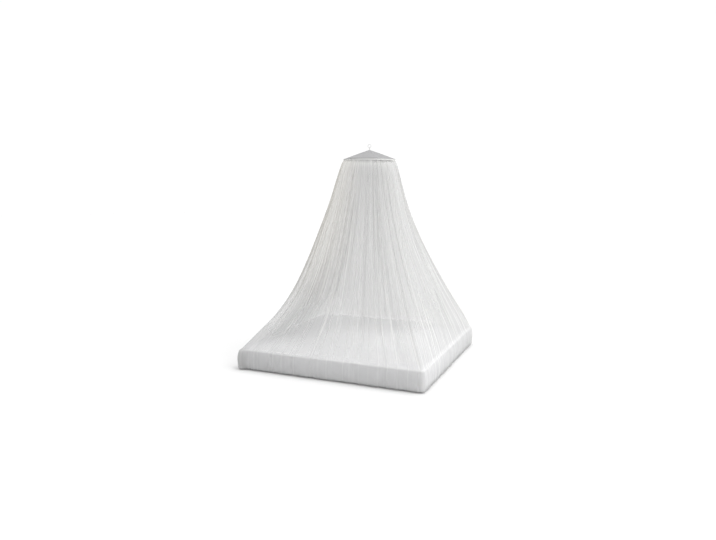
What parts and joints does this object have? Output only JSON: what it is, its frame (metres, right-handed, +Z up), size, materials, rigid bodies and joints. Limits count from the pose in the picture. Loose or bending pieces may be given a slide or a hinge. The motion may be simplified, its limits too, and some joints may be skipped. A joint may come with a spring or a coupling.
{
  "type": "hoop mosquito net canopy over a mattress",
  "caption": "White bell-shaped mosquito net gathered on a round hoop under a pointed cloth crown, hung by a ring, falling over a square mattress and tucked in under it.",
  "frame": {"origin": "on the floor, under the middle of the mattress and of the whole object's box", "axes": "+Z up; +X to the right and -Y towards the viewer, who stands at the foot end"},
  "size_m": [2.068, 2.068, 2.3769],
  "materials": {
    "netting": "sheer white knitted polyester netting",
    "crown_cloth": "dense white polyester cloth, slightly see-through",
    "binding": "folded white cotton tape",
    "hoop_rod": "plain white rod",
    "cord": "braided white cord",
    "ring_paint": "white painted steel",
    "mattress_cover": "plain white cotton cover"
  },
  "bodies": {
    "root": {"skirt": "netting", "crown": "crown_cloth", "rim_band": "binding", "hoop": "hoop_rod", "hanging_loop": "cord", "hanging_ring": "ring_paint", "mattress": "mattress_cover"}
  },
  "joints": []
}
